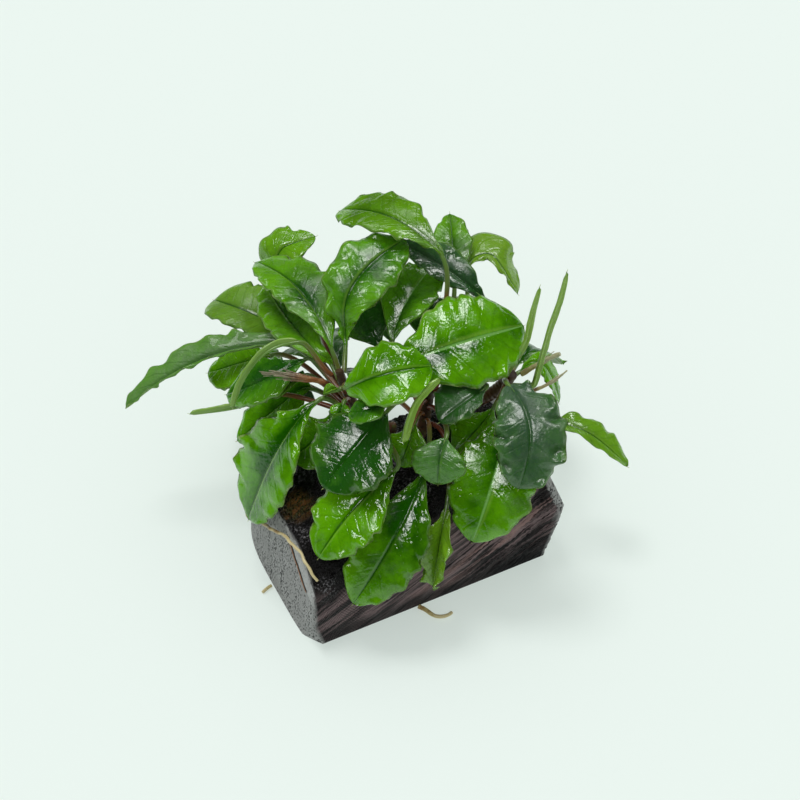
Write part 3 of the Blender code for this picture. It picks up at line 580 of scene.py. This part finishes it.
def leafMaterial():
    material, tree, shader = newMaterial("wetLeaf")
    place = objectPlace(tree)
    uv = addNode(tree, "ShaderNodeUVMap", {"uv_map": "leafUv"})
    split = addNode(tree, "ShaderNodeSeparateXYZ", {}, {0: uv})
    along = split
    across = Wire(tree, split.socket.node.outputs[1]) * 2.0 - 1.0
    far = absolute(across)
    under = attribute(tree, "under")
    tone = attribute(tree, "leafTone")
    grey = attribute(tree, "leafGrey")
    plain = attribute(tree, "leafPlain")
    veined, paleRib = 1.0 - clamp01(plain), clamp01(-plain)
    mottle = noiseField(tree, place, 170.0, 4.0, 0.6)
    cloud = noiseField(tree, place, 55.0, 2.0)
    speck = noiseField(tree, place, 1000.0, 2.0, 0.6)
    blister = noiseField(tree, place, 430.0, 2.0, 0.5)
    light = 0.52 + tone * 0.8 + (cloud - 0.5) * 1.9 + (mottle - 0.5) * 0.9 + far * far * 0.4
    nearRib = (1.0 - remap(far, 0.0, 0.45)) * (1.0 - remap(along, 0.3, 0.9))
    light = clamp01(light + (blister - 0.5) * 0.5 - (1.0 - remap(along, 0.0, 0.4)) * 0.2 - nearRib * 0.35)
    color = mixColor(tree, light, leafPaint["deep"], leafPaint["bright"])
    warm = clamp01(attribute(tree, "leafYellow") + (cloud - 0.5) * 0.4 + (far - 0.6) * 0.2)
    color = mixColor(tree, warm, color, leafPaint["yellow"])
    color = mixColor(tree, clamp01(grey + (cloud - 0.5) * grey * 2.0), color, leafPaint["grey"])
    veinWave = sine((along * 9.0 - far * 1.6) * (2.0 * math.pi)) * 0.5 + 0.5
    vein = veinWave ** 14.0 * remap(far, 0.02, 0.2) * (1.0 - remap(far, 0.8, 1.0)) * veined
    # the painted highlight beside the midrib, the painted light on the margin and the painted glints on the teeth show
    # on the brighter leaves only
    lively = remap(tone - grey, -0.6, 0.0)
    midrib = (1.0 - remap(far, 0.01, 0.055)) * veined
    # painted highlight along one side of the midrib groove
    ribHighlight = remap(far, 0.03, 0.07) * (1.0 - remap(far, 0.07, 0.16)) * remap(across, -0.02, 0.02) * veined
    # pale glints painted on the teeth of the margin
    toothGlints = remap(far + (blister - 0.5) * 0.12, 0.955, 0.975) * remap(noiseField(tree, place, 330.0, 1.0), 0.5, 0.56)
    color = mixColor(tree, vein * 0.15, color, leafPaint["deep"])
    # the dark midrib line is partly the midrib's own colour and partly painted shade in its groove
    color = mixColor(tree, midrib * 0.8, color, leafPaint["deep"])
    color = mixColor(tree, ribHighlight * lively * 0.4, color, leafPaint["rim"])
    color = mixColor(tree, paleRib * midrib * 0.8, color, leafPaint["rib"])
    color = mixColor(tree, clamp01(plain) * 0.6, color, leafPaint["strip"])
    # painted light along the thin margin of the blade
    color = mixColor(tree, remap(far, 0.93, 1.0) * (lively * 0.45 + 0.05), color, leafPaint["rim"])
    color = mixColor(tree, toothGlints * (lively * 0.5 + 0.15), color, leafPaint["toothGlints"])
    color = mixColor(tree, under * 0.75, color, leafPaint["under"])
    connect(shader, "Base Color", color)
    wet = noiseField(tree, place, 150.0, 3.0, 0.5)
    rough = leafPaint["sheen"] + under * 0.2 + remap(wet, 0.5, 0.66) * 0.2 + (speck - 0.5) * 0.15
    connect(shader, "Roughness", clamp01(rough - attribute(tree, "leafGloss") * 0.3))
    connect(shader, "Specular IOR Level", 0.5)
    connect(shader, "Coat Weight", 0.2)
    connect(shader, "Coat Roughness", 0.05)
    height = speck * 0.75 + blister * 0.9 + wet * 1.6 - vein * 0.4
    connect(shader, "Normal", bump(tree, height, 0.7, 0.0003))
    connect(shader, "Subsurface Weight", 0.08)
    shader.inputs["Subsurface Radius"].default_value = (0.4, 1.0, 0.05)
    connect(shader, "Subsurface Scale", 0.0008)
    return material


stalkPaint = {"red": (0.16, 0.032, 0.012), "brown": (0.19, 0.08, 0.022), "green": (0.10, 0.20, 0.03),
              "rib": (0.15, 0.30, 0.05), "tip": (0.42, 0.50, 0.15)}


def stalkMaterial():
    material, tree, shader = newMaterial("leafStalk")
    place = objectPlace(tree)
    uv = addNode(tree, "ShaderNodeUVMap", {"uv_map": "leafUv"})
    along = addNode(tree, "ShaderNodeSeparateXYZ", {}, {0: uv})
    patches = noiseField(tree, place, 120.0, 3.0)
    climb = along + (patches - 0.5) * 0.6
    color = mixColor(tree, remap(climb, -1.0, -0.25), stalkPaint["red"], stalkPaint["brown"])
    color = mixColor(tree, remap(climb, -0.45, 0.0), color, stalkPaint["green"])
    color = mixColor(tree, remap(along, 0.0, 0.25), color, stalkPaint["rib"])
    color = mixColor(tree, remap(along, 0.99, 1.01), color, stalkPaint["tip"])
    connect(shader, "Base Color", color)
    connect(shader, "Roughness", clamp01(0.3 + (patches - 0.5) * 0.3))
    grain = noiseField(tree, place, 700.0, 2.0)
    connect(shader, "Normal", bump(tree, grain, 0.25, 0.0003))
    return material


# Driftwood block

woodShape = {
    "depth": 62.0,
    "ridge": ((-45.0, 36.5), (-37.0, 40.0), (-26.0, 44.0), (-12.0, 47.0), (4.0, 48.5), (20.0, 48.5),
              (32.0, 47.5), (40.0, 46.0), (45.0, 45.0)),
    "frontSquareness": 3.4, "backSquareness": 2.8,
    "leftFoot": 4.4, "footMiddle": -4.0, "footReach": 35.0, "corner": 3.5, "cornerDepth": 7.0,
    "rightOut": 7.8, "rightOutHeight": 23.0, "rightSlant": 0.3,
    "sections": 130, "around": 150, "under": 50, "capRings": 46, "grainRise": 25.0,
}


def ridgeHeight(x):
    points = woodShape["ridge"]
    for (x0, z0), (x1, z1) in zip(points, points[1:]):
        if x <= x1:
            return z0 + (z1 - z0) * (x - x0) / (x1 - x0)
    return points[-1][1]


def woodShift(x, y, z):
    w = woodShape
    if x < 0.0:
        bulge = 1.0 - ((y - w["footMiddle"]) / w["footReach"]) ** 4
        foot = w["leftFoot"] * bulge * (1.0 - z / w["ridge"][0][1])
        corner = max(1.0 - (y + w["depth"] / 2.0) / w["cornerDepth"], 0.0) * w["corner"]
        return (x / w["ridge"][0][0]) ** 4 * (corner * (1.0 - min(z / 10.0, 1.0)) - foot)
    out = min(z / w["rightOutHeight"], 1.0) * w["rightOut"]
    out -= max(z - w["rightOutHeight"], 0.0) * w["rightSlant"]
    return (x / w["ridge"][-1][0]) ** 2 * out


def woodOutline():
    # section of height 1, evenly spaced from the front foot over the top to the back foot, then underneath
    fine = []
    for i in range(901):
        angle = math.pi * i / 900
        side = -math.cos(angle)
        square = woodShape["frontSquareness"] if side < 0.0 else woodShape["backSquareness"]
        fine.append((math.copysign(abs(side) ** (2.0 / square), side) * woodShape["depth"] / 2.0,
                     abs(math.sin(angle)) ** (2.0 / square)))
    lengths = [0.0]
    for (y0, z0), (y1, z1) in zip(fine, fine[1:]):
        lengths.append(lengths[-1] + math.hypot(y1 - y0, (z1 - z0) * 45.0))
    ring, k = [], 0
    for i in range(woodShape["around"]):
        goal = lengths[-1] * i / (woodShape["around"] - 1)
        while k < len(fine) - 2 and lengths[k + 1] < goal:
            k += 1
        t = (goal - lengths[k]) / (lengths[k + 1] - lengths[k])
        ring.append((fine[k][0] + (fine[k + 1][0] - fine[k][0]) * t, fine[k][1] + (fine[k + 1][1] - fine[k][1]) * t))
    ring[0], ring[-1] = (ring[0][0], 0.0), (ring[-1][0], 0.0)
    for i in range(1, woodShape["under"] + 1):
        ring.append((woodShape["depth"] * (0.5 - i / (woodShape["under"] + 1)), 0.0))
    return ring


def smooth(low, high, value):
    t = min(max((value - low) / (high - low), 0.0), 1.0)
    return t * t * (3.0 - 2.0 * t)


def ridged(x, y, z):
    return 1.0 - abs(noise.noise(Vector((x, y, z)))) * 2.0


def weatherWood(x, y, z, height):
    # how deep the weather has eaten into the side of the block here, and how far it is the rough top
    rise = math.radians(woodShape["grainRise"])
    along = x * math.cos(rise) + z * math.sin(rise)
    over = z * math.cos(rise) - x * math.sin(rise)
    patch = noise.noise(Vector((x * 0.09, y * 0.12, z * 0.1)))
    rough = smooth(0.56, 0.8, z / height + patch * 0.22 - smooth(18.0, 40.0, x) * 0.1)
    streaks = ridged(along * 0.06, over * 0.6, y * 0.2) * 0.5 + ridged(along * 0.14, over * 1.5, y * 0.5) * 0.4
    depth = 0.2 + streaks * (0.45 + 1.0 * smooth(0.0, 35.0, x)) * (1.0 - rough * 0.6)
    fibres = ridged(x * 0.35, y * 0.9, z * 0.9) * 0.7 + noise.noise(Vector((x * 0.9, y * 1.6, z * 1.6))) * 0.6
    depth += rough * (0.5 + fibres * 1.0)
    depth += noise.noise(Vector((x * 0.15, y * 0.15, z * 0.15))) * 0.5
    depth *= 1.0 - 0.65 * smooth(38.0, 46.0, x)
    return depth * smooth(0.0, 3.0, z), rough


def makeWood(material):
    outline = woodOutline()
    count = len(outline)
    verts, rough, cut = [], [], []
    left, right = woodShape["ridge"][0][0], woodShape["ridge"][-1][0]

    def addRing(x, scale, onCap):
        height = ridgeHeight(x)
        center = height * 0.42
        for i, (y, z) in enumerate(outline):
            z *= height
            if onCap:
                y, z = y * scale, center + (z - center) * scale
                place = Vector((x + woodShift(x, y, z), y, z))
                side = -1.0 if x < 0.0 else 1.0
                worn = smooth(0.93, 1.0, scale) * (0.5 + noise.noise(place * 0.4) * 0.8)
                worn += noise.noise(place * 1.7) * 0.12 + noise.noise(place * 0.25) * 0.25
                place.x -= side * max(worn + 0.25, 0.0) * smooth(0.0, 2.5, z)
                verts.append(place * mm)
                rough.append(0.0)
                cut.append(1.0)
                continue
            before, after = outline[i - 1], outline[(i + 1) % count]
            facing = Vector((0.0, -(after[1] - before[1]) * height, after[0] - before[0])).normalized()
            depth, top = weatherWood(x, y, z, height)
            nearEnd = min(x - left, right - x)
            place = Vector((x + woodShift(x, y, z), y, z)) - facing * depth * smooth(0.0, 1.0, z)
            place.z = max(place.z, 0.0)
            verts.append(place * mm)
            rough.append(top)
            cut.append(1.0 - smooth(0.2, 1.2, nearEnd))

    ringCount = 0
    rings = woodShape["capRings"]
    for k in range(1, rings):
        addRing(left, k / rings, True)
        ringCount += 1
    for k in range(woodShape["sections"] + 1):
        addRing(left + (right - left) * k / woodShape["sections"], 1.0, False)
        ringCount += 1
    for k in range(rings - 1, 0, -1):
        addRing(right, k / rings, True)
        ringCount += 1
    faces = []
    for k in range(ringCount - 1):
        for i in range(count):
            j = (i + 1) % count
            faces.append((k * count + i, k * count + j, (k + 1) * count + j, (k + 1) * count + i))
    faces.append(tuple(range(count)))
    faces.append(tuple(reversed(range((ringCount - 1) * count, ringCount * count))))
    mesh = bpy.data.meshes.new("driftwood_look")
    mesh.from_pydata(verts, [], faces)
    for label, values in (("roughTop", rough), ("sawCut", cut)):
        mesh.attributes.new(label, "FLOAT", "POINT").data.foreach_set("value", values)
    bm = bmesh.new()
    bm.from_mesh(mesh)
    bmesh.ops.recalc_face_normals(bm, faces=bm.faces[:])
    bm.to_mesh(mesh)
    bm.free()
    mesh.shade_smooth()
    mesh.set_sharp_from_angle(angle=math.radians(50.0))
    mesh.materials.append(material)
    piece = bpy.data.objects.new("driftwood_look", mesh)
    bpy.context.collection.objects.link(piece)
    finish(piece, "driftwood")
    return piece


woodPaint = {
    "dark": (0.012, 0.009, 0.0095), "brown": (0.19, 0.132, 0.135), "red": (0.33, 0.20, 0.185),
    "charAndShade": (0.009, 0.009, 0.010), "top": (0.006, 0.005, 0.005), "glint": (0.20, 0.19, 0.20),
    "cut": (0.29, 0.29, 0.285), "cutLight": (0.50, 0.50, 0.495), "pore": (0.018, 0.017, 0.018),
    "rust": (0.34, 0.13, 0.035), "moss": (0.13, 0.11, 0.03),
    "crackTop": (-6.6, 33.6), "crackFoot": (-23.9, 22.6), "knot": (-46.5, 12.0, 29.5), "mossAt": (-38.5, 0.5, 39.0),
}


def nearPoint(tree, place, point, inner, outer, ragged):
    away = addNode(tree, "ShaderNodeVectorMath", {"operation": "DISTANCE"},
                   {0: place, 1: tuple(c * mm for c in point)}, 1)
    return 1.0 - remap(away + ragged, inner * mm, outer * mm)


def woodMaterial():
    material, tree, shader = newMaterial("driftwoodBlock")
    place = objectPlace(tree)
    split = addNode(tree, "ShaderNodeSeparateXYZ", {}, {0: place})
    x, y, z = (Wire(tree, split.socket.node.outputs[k]) for k in range(3))
    turned = addNode(tree, "ShaderNodeVectorRotate", {"rotation_type": "AXIS_ANGLE"},
                     {"Vector": place, "Axis": (0.0, 1.0, 0.0), "Angle": math.radians(woodShape["grainRise"])})
    blotch = noiseField(tree, place, 38.0, 3.0, 0.5)
    streak = noiseField(tree, turned, 100.0, 4.0, 0.6, (0.25, 1.0, 4.5))
    fine = noiseField(tree, turned, 300.0, 3.0, 0.6, (0.3, 1.0, 4.5))
    gouge = noiseField(tree, turned, 100.0, 2.0, 0.5, (0.35, 1.0, 7.0))
    grit = noiseField(tree, place, 1500.0, 2.0, 0.6)
    # the rounded rim of the right cut is as pale as the cut itself
    rightEnd = 0.045 + clamp01(z / 0.023) * 0.0078 - clamp01((z - 0.023) * 0.3)
    rim = 1.0 - remap(rightEnd - x + (streak - 0.5) * 0.004, 0.0024, 0.0032)
    sawn = clamp01(attribute(tree, "sawCut") + rim * remap(z, 0.012, 0.03))
    top = attribute(tree, "roughTop")

    # split face: purple brown with dark streaks, gouges towards the right, a charred foot and painted shade along the
    # bottom edge
    color = mixColor(tree, remap(streak, 0.38, 0.56), woodPaint["dark"], woodPaint["brown"])
    ruddy = remap(noiseField(tree, turned, 60.0, 3.0, 0.5, (0.3, 1.0, 3.0)), 0.48, 0.62)
    color = mixColor(tree, ruddy * remap(x, -0.03, 0.03) * 0.75, color, woodPaint["red"])
    color = mixColor(tree, remap(fine, 0.52, 0.64) * 0.6, color, woodPaint["dark"])
    gouges = remap(gouge + (blotch - 0.5) * 0.3, 0.54, 0.60) * remap(x, -0.005, 0.02)
    color = mixColor(tree, gouges * 0.92, color, woodPaint["dark"])
    foot = remap(x + (blotch - 0.5) * 0.03, 0.005, 0.03) * (1.0 - remap(z + (streak - 0.5) * 0.012, 0.006, 0.018))
    color = mixColor(tree, foot * 0.85, color, woodPaint["charAndShade"])
    # painted shade along the bottom edge, where the block meets the floor
    bottomShade = 1.0 - remap(z + (blotch - 0.5) * 0.008, 0.002, 0.0075)
    color = mixColor(tree, bottomShade * 0.8, color, woodPaint["charAndShade"])
    # saw ripples meeting in a row of chevrons beside the left cut
    chevron = absolute(x + 0.037) * 1.1 + z * 0.75 + (blotch - 0.5) * 0.004
    ripples = sine(chevron * (2.0 * math.pi / 0.0013)) * 0.5 + 0.5
    ripples = ripples * (1.0 - remap(x + (blotch - 0.5) * 0.02, -0.035, -0.024)) * (1.0 - top)
    color = mixColor(tree, ripples * 0.35, color, woodPaint["dark"])

    color = mixColor(tree, top * (1.0 - gouges * 0.4), color, woodPaint["top"])
    wet = remap(noiseField(tree, place, 80.0, 2.0), 0.48, 0.62)
    color = mixColor(tree, top * wet * remap(grit, 0.52, 0.62), color, woodPaint["glint"])
    moss = nearPoint(tree, place, woodPaint["mossAt"], 2.5, 8.0, (blotch - 0.5) * 0.01)
    color = mixColor(tree, moss * remap(grit, 0.4, 0.55) * 0.85, color, woodPaint["moss"])
    color = mixColor(tree, moss * remap(fine, 0.48, 0.6) * 0.7, color, woodPaint["rust"])

    # sawn ends: grey, with pores in upright rows, a long crack and a rusty knot
    (crackY, crackZ), (footY, footZ) = woodPaint["crackTop"], woodPaint["crackFoot"]
    reach = math.hypot(footY - crackY, footZ - crackZ)
    dy, dz = (footY - crackY) / reach, (footZ - crackZ) / reach
    onward = (y - crackY * mm) * dy + (z - crackZ * mm) * dz
    offside = (y - crackY * mm) * dz - (z - crackZ * mm) * dy
    offside = offside + (blotch - 0.5) * 0.0012
    within = remap(onward, -0.0005, 0.0005) * (1.0 - remap(onward, (reach - 1.0) * mm, (reach + 0.3) * mm))
    within = within * remap(-x, 0.038, 0.041)
    crack = (1.0 - remap(absolute(offside), 0.0004, 0.00075)) * within
    rim = (1.0 - remap(absolute(offside + 0.0009), 0.0003, 0.0009)) * within
    pores = noiseField(tree, place, 1900.0, 1.0, 0.6, (1.0, 1.0, 0.5))
    rows = noiseField(tree, place, 520.0, 2.0, 0.5, (1.0, 1.0, 0.05))
    cloudy = noiseField(tree, place, 110.0, 3.0)
    strip = remap(offside, -0.0003, 0.0003) * remap(onward, -0.012, -0.002) * remap(-x, 0.03, 0.035)
    pore = remap(pores + (rows - 0.5) * 0.45 + (cloudy - 0.5) * 0.3, 0.57, 0.64) * (1.0 - strip * 0.75)
    pale = clamp01(remap(cloudy, 0.42, 0.62) * 0.3 + strip * 0.55 + (rows - 0.5) * 0.8)
    cutColor = mixColor(tree, pale, woodPaint["cut"], woodPaint["cutLight"])
    cutColor = mixColor(tree, pore * 0.85, cutColor, woodPaint["pore"])
    cutColor = mixColor(tree, rim * 0.8, cutColor, woodPaint["rust"])
    knot = nearPoint(tree, place, woodPaint["knot"], 1.2, 3.0, (grit - 0.5) * 0.002)
    cutColor = mixColor(tree, knot, cutColor, woodPaint["rust"])
    color = mixColor(tree, sawn, color, cutColor)
    color = mixColor(tree, crack, color, woodPaint["dark"])
    connect(shader, "Base Color", color)
    sheen = 0.42 + (fine - 0.5) * 0.3 + sawn * 0.25 + (grit - 0.5) * 0.2 - top * 0.14
    connect(shader, "Roughness", clamp01(sheen))
    connect(shader, "Specular IOR Level", 0.15)
    relief = (streak * 1.2 + fine * 1.0 - gouges * 1.6 + ripples * 0.5) * (1.0 - sawn)
    relief = relief + grit * (0.25 + top * 1.3) - sawn * pore * 0.8 - crack * 4.0
    connect(shader, "Normal", bump(tree, relief, 0.9, 0.0006))
    return material


# Stems, old stalks and roots

def rodTree():
    tree, given = newTree("roughRod", ("Start radius", "End radius", "Rings", "Ring height", "Roughness", "Wobble",
                                        "Strands", "Spread", "Seed"), (), ("Material",))
    path = addNode(tree, "GeometryNodeResampleCurve", {}, {"Curve": given["Geometry"], "Count": 90})
    spotOnPath = addNode(tree, "GeometryNodeInputPosition")
    bends = addNode(tree, "ShaderNodeTexNoise", {"noise_dimensions": "4D"},
                    {"Vector": spotOnPath, "W": given["Seed"] + 9.0, "Scale": 110.0, "Detail": 1.0}, 1)
    path = addNode(tree, "GeometryNodeSetPosition", {},
                   {"Geometry": path, "Offset": (bends - (0.5, 0.5, 0.5)) * (1.0, 1.0, 0.3) * given["Wobble"]})
    factor = addNode(tree, "GeometryNodeSplineParameter")
    ringWave = absolute(sine(factor * given["Rings"] * math.pi)) ** 0.5
    wide = given["Start radius"] + (given["End radius"] - given["Start radius"]) * factor
    wide = wide * (1.0 - given["Ring height"] * (1.0 - ringWave))
    ring = addNode(tree, "GeometryNodeCurvePrimitiveCircle", {}, {"Resolution": 18, "Radius": 1.0})
    path = storeField(tree, path, "onRod", factor)
    tube = addNode(tree, "GeometryNodeCurveToMesh", {},
                   {"Curve": path, "Profile Curve": ring, "Scale": wide, "Fill Caps": True})
    # loose fibres of a rotting stalk
    copies = addNode(tree, "GeometryNodeDuplicateElements", {"domain": "SPLINE"},
                     {"Geometry": path, "Amount": given["Strands"]})
    copy = Wire(tree, copies.socket.node.outputs[1])
    stray = addNode(tree, "FunctionNodeRandomValue", {"data_type": "FLOAT_VECTOR"},
                    {0: (-1.0, -1.0, -1.0), 1: (1.0, 1.0, 1.0), "ID": copy, "Seed": given["Seed"]})
    moved = addNode(tree, "GeometryNodeSetPosition", {},
                    {"Geometry": copies, "Offset": stray * (given["Spread"] * (factor ** 1.6 + 0.15))})
    fibreSize = given["Start radius"] * 0.34 * (1.0 - factor * 0.6)
    ends = addNode(tree, "FunctionNodeRandomValue", {"data_type": "FLOAT"}, {2: 0.55, 3: 1.0, "ID": copy,
                                                                          "Seed": given["Seed"] + 3.0}, 1)
    shorter = addNode(tree, "GeometryNodeTrimCurve", {"mode": "FACTOR"}, {0: moved, 3: ends})
    fibres = addNode(tree, "GeometryNodeCurveToMesh", {},
                     {"Curve": shorter, "Profile Curve": ring, "Scale": fibreSize, "Fill Caps": True})
    both = addNode(tree, "GeometryNodeJoinGeometry")
    tree.links.new(fibres.socket, both.socket.node.inputs[0])
    tree.links.new(tube.socket, both.socket.node.inputs[0])
    tube = both
    spot = addNode(tree, "GeometryNodeInputPosition")
    lumps = addNode(tree, "ShaderNodeTexNoise", {"noise_dimensions": "4D"},
                    {"Vector": spot, "W": given["Seed"], "Scale": 420.0, "Detail": 3.0})
    facing = addNode(tree, "GeometryNodeInputNormal")
    rough = addNode(tree, "GeometryNodeSetPosition", {},
                    {"Geometry": tube, "Offset": facing * ((lumps - 0.5) * given["Roughness"])})
    rough = addNode(tree, "GeometryNodeSetShadeSmooth", {}, {"Geometry": rough})
    rough = addNode(tree, "GeometryNodeSetMaterial", {}, {"Geometry": rough, "Material": given["Material"]})
    endTree(tree, addNode(tree, "GeometryNodeRealizeInstances", {}, {"Geometry": rough}))
    return tree


# radius at both ends, rings, ring height, roughness, then the path
rodPlan = {
    "creeping_stem_left": (2.1, 1.5, 22, 0.12, 0.5, *stemPaths["left"]),
    "creeping_stem_middle": (2.1, 2.5, 18, 0.12, 0.5, *stemPaths["middle"]),
    "creeping_stem_right": (2.1, 2.5, 16, 0.12, 0.5, *stemPaths["right"]),
    "old_stalk_left": (1.25, 0.45, 5, 0.1, 0.7, (-15.5, 20.5, 71.0), (-21.0, 20.0, 76.0), (-29.0, 23.0, 80.0),
                       (-36.5, 30.5, 77.0)),
    "old_stalk_right_1": (1.0, 0.8, 4, 0.1, 0.5, (50.8, 2.4, 62.0), (54.0, 2.0, 63.0), (59.0, 2.5, 65.5),
                          (64.5, -0.5, 69.0)),
    "old_stalk_right_2": (0.85, 0.3, 5, 0.1, 0.4, (50.6, -0.4, 55.0), (55.0, -1.0, 55.0), (61.0, -1.5, 55.5),
                          (69.0, 0.5, 57.5)),
    "root_left": (0.65, 0.5, 0, 0.0, 0.45, (-48.6, 23.0, 15.5), (-49.2, 16.0, 18.5), (-48.2, 7.0, 29.0),
                  (-48.0, -1.0, 36.0), (-46.4, -13.0, 37.0), (-45.0, -17.5, 40.5), (-43.2, -25.5, 33.5),
                  (-42.6, -26.6, 30.5)),
    "root_ground_left": (0.6, 0.55, 0, 0.0, 0.3, (-50.2, 0.3, 0.85), (-52.0, 0.0, 0.9), (-54.4, -1.0, 0.85)),
    "root_ground_front": (0.85, 0.6, 0, 0.0, 0.3, (-6.6, -32.3, 1.2), (-5.4, -36.0, 1.2), (-3.6, -41.4, 1.2),
                          (3.0, -39.3, 1.1)),
}
# how many loose fibres, how far they stray and how much the path kinks, in mm
rodFibres = {"old_stalk_left": (16, 3.0, 2.0), "old_stalk_right_1": (9, 1.4, 1.0), "old_stalk_right_2": (5, 0.9, 0.6),
             "root_left": (0, 0.0, 4.5), "root_ground_left": (0, 0.0, 0.8), "root_ground_front": (0, 0.0, 3.0)}


def rodMaterial(name, first, second, third, faded):
    material, tree, shader = newMaterial(name)
    place = objectPlace(tree)
    patches = noiseField(tree, place, 260.0, 4.0, 0.6)
    color = mixColor(tree, remap(patches, 0.35, 0.55), first, second)
    color = mixColor(tree, remap(patches, 0.55, 0.72), color, third)
    color = mixColor(tree, remap(attribute(tree, "onRod") + (patches - 0.5) * 0.5, 0.35, 0.7), color, faded)
    connect(shader, "Base Color", color)
    connect(shader, "Roughness", clamp01(0.35 + (patches - 0.5) * 0.4))
    connect(shader, "Normal", bump(tree, noiseField(tree, place, 900.0, 3.0) + patches, 0.5, 0.0004))
    return material


def makeRod(name, row, tree, material, seed):
    first, last, rings, ringHeight, rough = row[:5]
    path = [Vector(point) for point in row[5:]]
    points = [bezier(path, k / 40) for k in range(41)]
    strands, spread, kink = rodFibres.get(name, (0, 0.0, 0.0))
    values = {"Start radius": first * mm, "End radius": last * mm, "Rings": float(rings),
              "Ring height": ringHeight, "Roughness": rough * mm,
              "Strands": float(strands), "Spread": spread * mm, "Wobble": kink * mm, "Seed": float(seed),
              "Material": material}
    piece = growMesh(curveObject(name, points), tree, values, name + "_look")
    finish(piece, name)
    return piece


# Camera, floor and light

view = {"azimuth": -26.5, "height": 47.0, "distance": 720.0, "target": (24.3, 45.6, 20.0), "lens": 85.0}


def setView():
    data = bpy.data.cameras.new("view")
    data.lens = view["lens"]
    data.sensor_width = 36.0
    data.clip_start = 0.01
    camera = bpy.data.objects.new("view", data)
    turn, rise = math.radians(view["azimuth"]), math.radians(view["height"])
    back = Vector((math.sin(turn) * math.cos(rise), -math.cos(turn) * math.cos(rise), math.sin(rise)))
    camera.location = (Vector(view["target"]) + back * view["distance"]) * mm
    camera.rotation_euler = (math.radians(90.0 - view["height"]), 0.0, turn)
    bpy.context.collection.objects.link(camera)
    bpy.context.scene.camera = camera


studio = {"floor": (0.40, 0.43, 0.413), "glow": (0.79, 0.885, 0.835), "glowStrength": 0.528,
          "air": (0.96, 1.0, 0.98), "airStrength": 0.62}
lamps = {
    # name: compass direction from +Y towards +X, height, how wide it looks in degrees, strength, seen as
    "keyRight": (40.0, 58.0, 40.0, 0.3, "soft"),
    "keyLeft": (-15.0, 71.0, 20.0, 1.25, "soft"),
    "glossRight": (75.0, 66.0, 22.0, 1.6, "gloss"),
    "glossLeft": (-112.0, 64.0, 22.0, 1.6, "gloss"),
    "glossBack": (15.0, 52.0, 14.0, 0.25, "gloss"),
}


def setStudio():
    mesh = bpy.data.meshes.new("floor")
    wide = 3.0
    mesh.from_pydata([(-wide, -wide, 0), (wide, -wide, 0), (wide, wide, 0), (-wide, wide, 0)], [], [(0, 1, 2, 3)])
    floor = bpy.data.objects.new("floor", mesh)
    bpy.context.collection.objects.link(floor)
    material, tree, shader = newMaterial("paleFloor")
    connect(shader, "Base Color", (*studio["floor"], 1.0))
    connect(shader, "Roughness", 0.9)
    connect(shader, "Specular IOR Level", 0.0)
    connect(shader, "Emission Color", (*studio["glow"], 1.0))
    connect(shader, "Emission Strength", studio["glowStrength"])
    mesh.materials.append(material)
    world = bpy.data.worlds.new("air")
    world.use_nodes = True
    world.node_tree.nodes["Background"].inputs[0].default_value = (*studio["air"], 1.0)
    world.node_tree.nodes["Background"].inputs[1].default_value = studio["airStrength"]
    world.cycles_visibility.glossy = False
    bpy.context.scene.world = world
    bpy.context.scene.view_settings.view_transform = "Standard"
    for name, (compass, height, wideness, strength, seenAs) in lamps.items():
        data = bpy.data.lights.new(name, "SUN")
        data.angle = math.radians(wideness)
        data.energy = strength
        lamp = bpy.data.objects.new(name, data)
        turn, rise = math.radians(compass), math.radians(height)
        toLamp = Vector((math.sin(turn) * math.cos(rise), math.cos(turn) * math.cos(rise), math.sin(rise)))
        lamp.location = toLamp
        lamp.rotation_euler = (-toLamp).to_track_quat("-Z", "Y").to_euler()
        lamp.visible_diffuse = seenAs == "soft"
        lamp.visible_glossy = seenAs == "gloss"
        bpy.context.collection.objects.link(lamp)


# Making everything

setView()
setStudio()
report("camera and studio")

leafMaterials = {"blade": leafMaterial(), "stalk": stalkMaterial()}
tree = leafTree()
ranks = stalkRanks()
for name, row in leafPlan.items():
    makeLeaf(name, row, ranks[name], tree, leafMaterials)
report("leaves")

makeWood(woodMaterial())
report("driftwood")

rods = rodTree()
rodPaints = {
    "creeping": ("stem", rodMaterial("creepingStem", (0.03, 0.012, 0.008), (0.09, 0.035, 0.015), (0.07, 0.09, 0.02),
                                     (0.06, 0.03, 0.012))),
    "old": ("stem", rodMaterial("deadStalk", (0.11, 0.03, 0.01), (0.28, 0.10, 0.03), (0.36, 0.24, 0.09),
                                (0.25, 0.22, 0.13))),
    "oldRight": ("stem", rodMaterial("driedStalk", (0.15, 0.08, 0.025), (0.33, 0.27, 0.09), (0.42, 0.40, 0.14),
                                     (0.40, 0.38, 0.22))),
    "root": ("root", rodMaterial("paleRoot", (0.30, 0.17, 0.05), (0.52, 0.42, 0.17), (0.66, 0.60, 0.33),
                                 (0.60, 0.50, 0.26))),
}
for seed, (name, row) in enumerate(rodPlan.items()):
    slotName, paint = rodPaints["oldRight" if name.startswith("old_stalk_right") else name.split("_")[0]]
    makeRod(name, row, rods, paint, seed)
report("stems and roots")

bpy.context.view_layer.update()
report("done")
